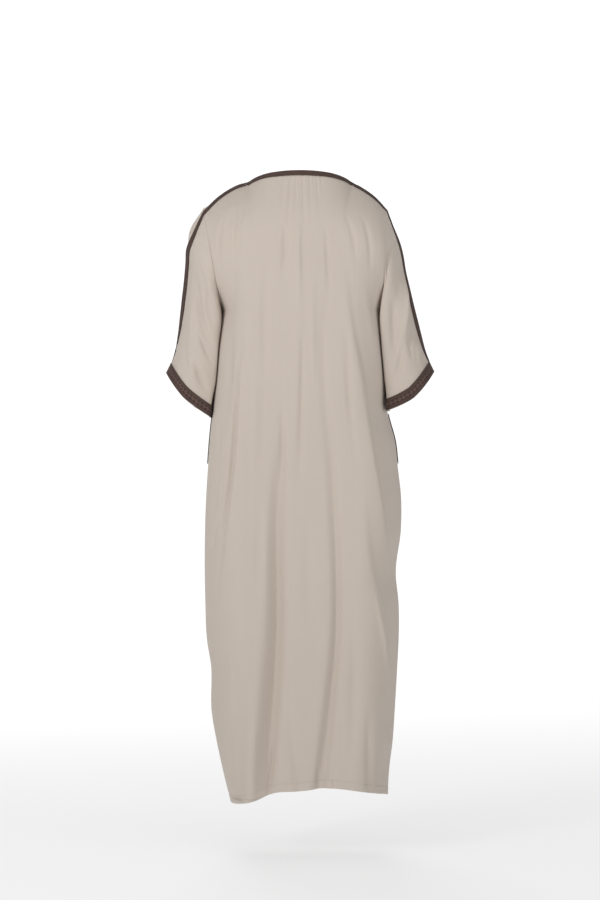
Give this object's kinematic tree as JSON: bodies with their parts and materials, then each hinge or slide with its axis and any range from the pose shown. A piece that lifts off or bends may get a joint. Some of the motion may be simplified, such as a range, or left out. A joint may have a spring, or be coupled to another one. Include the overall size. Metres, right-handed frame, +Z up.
{
  "type": "djellaba robe",
  "caption": "Ankle-length wide robe hanging as worn, hollow and open at neck, cuffs and hem, with wide elbow-length sleeves and woven braid along its edges and shoulder seams.",
  "frame": {"origin": "where the robe hangs on the shoulders: midway between the two shoulder points of the neckline", "axes": "+Z up, the front faces -Y, +X towards the robe's own left side"},
  "size_m": [0.6226, 0.3219, 1.4501],
  "materials": {
    "cloth": "smooth fine-woven cloth, soft sheen",
    "braid": "plaited dark braid"
  },
  "bodies": {
    "root": {"back_panel": "cloth", "front_panel": "cloth", "sleeve_left": "cloth", "sleeve_right": "cloth", "neck_braid": "braid", "shoulder_braid_left": "braid", "shoulder_braid_right": "braid", "cuff_braid_left": "braid", "cuff_braid_right": "braid", "pocket_braid_left": "braid", "pocket_braid_right": "braid"}
  },
  "joints": []
}
